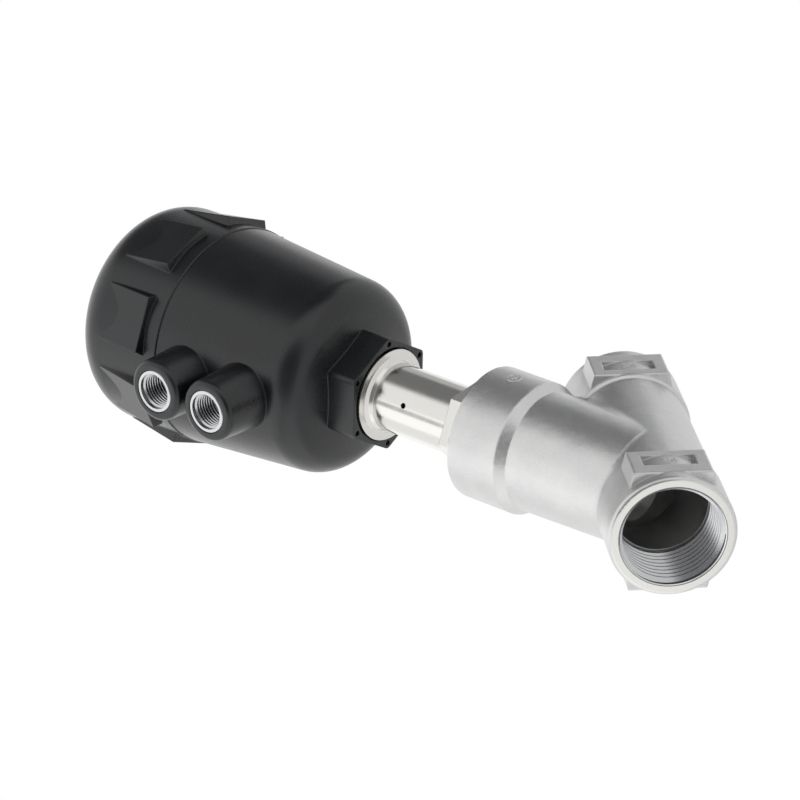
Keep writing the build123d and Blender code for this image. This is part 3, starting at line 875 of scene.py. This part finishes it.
@dataclass
class Studio:
    """White studio: a pale floor, soft lamps, and a world white to the eye and graded to the metal.

    The panels are, in order: a dark screen beyond the outlet, which gives pipe, branch and neck
    their dark bands; a dark screen beyond the inlet, which shades the cones and edges; a narrow one
    overhead, which draws a thin line along the neck; and a paler patch in the first, which lifts
    the flats of the spanner pads.
    """

    floor_z: float = -0.22
    floor_size: float = 1.5
    floor_colour: str = "#f4f4f4"
    camera_place: tuple[float, float, float] = (-0.707776, -0.369124, 0.153304)
    camera_right: tuple[float, float, float] = (-0.114472, -0.015327, -0.993308)
    camera_up: tuple[float, float, float] = (0.419201, -0.907245, -0.034311)
    camera_back: tuple[float, float, float] = (-0.900648, -0.420323, 0.110279)
    lens: float = 151.75
    tent: float = 1.04
    panel_blue: float = 1.02
    panels: Sequence[Panel] = (
        Panel((0.62, -0.76, 0.1), 40.0, 8.0, 0.2),
        Panel((-0.9, -0.25, 0.3), 30.0, 8.0, 0.22),
        Panel((-0.12, 0.1, 0.99), 5.0, 2.0, 0.2),
        Panel((0.9, -0.42, -0.11), 9.0, 4.0, 0.55),
    )
    lamps: Sequence[Lamp] = (
        Lamp("key", (-0.3, 0.35, 0.85), 1.0, 1.0),
        Lamp("fill", (-0.6, 0.8, -0.1), 0.7, 1.0),
        Lamp("far_side", (0.8, 0.5, 0.5), 0.5, 1.0),
    )

    @staticmethod
    def seen_directly(tree: bpy.types.NodeTree) -> Socket:
        """One for rays that come straight from the camera."""
        return add_node(tree, "ShaderNodeLightPath").outputs["Is Camera Ray"]

    def floor(self) -> bpy.types.Object:
        """Pale matt floor that reads white to the eye."""
        mesh = bpy.data.meshes.new("floor")
        half = self.floor_size / 2
        corners = [(half * x, half * y, self.floor_z) for x, y in ((-1, -1), (1, -1), (1, 1), (-1, 1))]
        mesh.from_pydata(corners, [], [(0, 1, 2, 3)])
        material = bpy.data.materials.new("matt_white_floor")
        material.use_nodes = True
        tree = material.node_tree
        tree.nodes.clear()
        matt = add_node(tree, "ShaderNodeBsdfDiffuse", {"Color": linear(self.floor_colour)})
        glow = add_node(tree, "ShaderNodeEmission", {
            "Color": (1, 1, 1, 1), "Strength": self.seen_directly(tree)})
        both = add_node(tree, "ShaderNodeAddShader", {0: matt.outputs[0], 1: glow.outputs[0]})
        add_node(tree, "ShaderNodeOutputMaterial", {"Surface": both.outputs[0]})
        mesh.materials.append(material)
        floor = link_mesh("floor", mesh)
        return floor

    @staticmethod
    def patch(tree: bpy.types.NodeTree, direction: Socket, panel: Panel) -> Socket:
        """How far a direction lies inside a soft round panel of the studio, from zero to one."""
        toward = Vector(panel.toward).normalized()
        aligned = add_node(
            tree, "ShaderNodeVectorMath", {0: direction, 1: tuple(toward)}, operation="DOT_PRODUCT"
        ).outputs["Value"]
        outer = math.cos(math.radians(panel.half_angle + panel.softness))
        inner = math.cos(math.radians(panel.half_angle - panel.softness))
        return add_node(
            tree, "ShaderNodeMapRange", {"Value": aligned, "From Min": outer, "From Max": inner},
            interpolation_type="SMOOTHSTEP",
        ).outputs[0]

    def world(self) -> None:
        """World white to the eye, and to the metal a bright tent with grey panels in it."""
        world = bpy.data.worlds.new("studio")
        bpy.context.scene.world = world
        world.use_nodes = True
        tree = world.node_tree
        tree.nodes.clear()
        direction = add_node(tree, "ShaderNodeTexCoord").outputs["Generated"]
        shade: Any = (self.tent, self.tent, self.tent, 1.0)
        for panel in self.panels:
            level = (panel.level, panel.level, panel.level * self.panel_blue, 1.0)
            inside = self.patch(tree, direction, panel)
            shade = add_node(
                tree, "ShaderNodeMix", {0: inside, 6: shade, 7: level}, data_type="RGBA"
            ).outputs[2]
        room = add_node(tree, "ShaderNodeBackground", {"Color": shade, "Strength": 1.0})
        white = add_node(tree, "ShaderNodeBackground", {"Color": (1, 1, 1, 1), "Strength": 1.0})
        choice = add_node(tree, "ShaderNodeMixShader", {
            0: self.seen_directly(tree), 1: room.outputs[0], 2: white.outputs[0]})
        add_node(tree, "ShaderNodeOutputWorld", {"Surface": choice.outputs[0]})

    def light(self) -> None:
        """Soft area lamps aimed at the valve's middle."""
        middle = (cad_low + cad_high) / 2
        for given in self.lamps:
            data = bpy.data.lights.new(given.name, "AREA")
            data.energy = given.power
            data.size = given.side
            lamp = bpy.data.objects.new(given.name, data)
            bpy.context.scene.collection.objects.link(lamp)
            lamp.location = Vector(given.place) + middle
            lamp.rotation_euler = (lamp.location - middle).to_track_quat("Z", "Y").to_euler()

    def camera(self) -> None:
        """Long-lens camera beside the inlet, rolled so that the stem runs across the picture."""
        data = bpy.data.cameras.new("camera")
        data.sensor_width = 36.0
        data.lens = self.lens
        camera = bpy.data.objects.new("camera", data)
        bpy.context.scene.collection.objects.link(camera)
        turn = Matrix((self.camera_right, self.camera_up, self.camera_back)).transposed().to_4x4()
        camera.matrix_world = Matrix.Translation(self.camera_place) @ turn
        data.clip_start, data.clip_end = 0.05, 20.0
        bpy.context.scene.camera = camera

    def build(self) -> None:
        """Set the whole studio up."""
        bpy.context.scene.view_settings.view_transform = "Standard"
        self.floor()
        self.world()
        self.light()
        self.camera()
        log.info("studio ready, floor at %.3f m", self.floor_z)


def main() -> None:
    """Build every sub-assembly in order."""
    logging.basicConfig(level=logging.INFO, format="%(name)s: %(message)s")
    dress_solids()
    Threads().build()
    CastMarks().build()
    ClosingSpring().build()
    Studio().build()


if __name__ == "__main__":
    main()
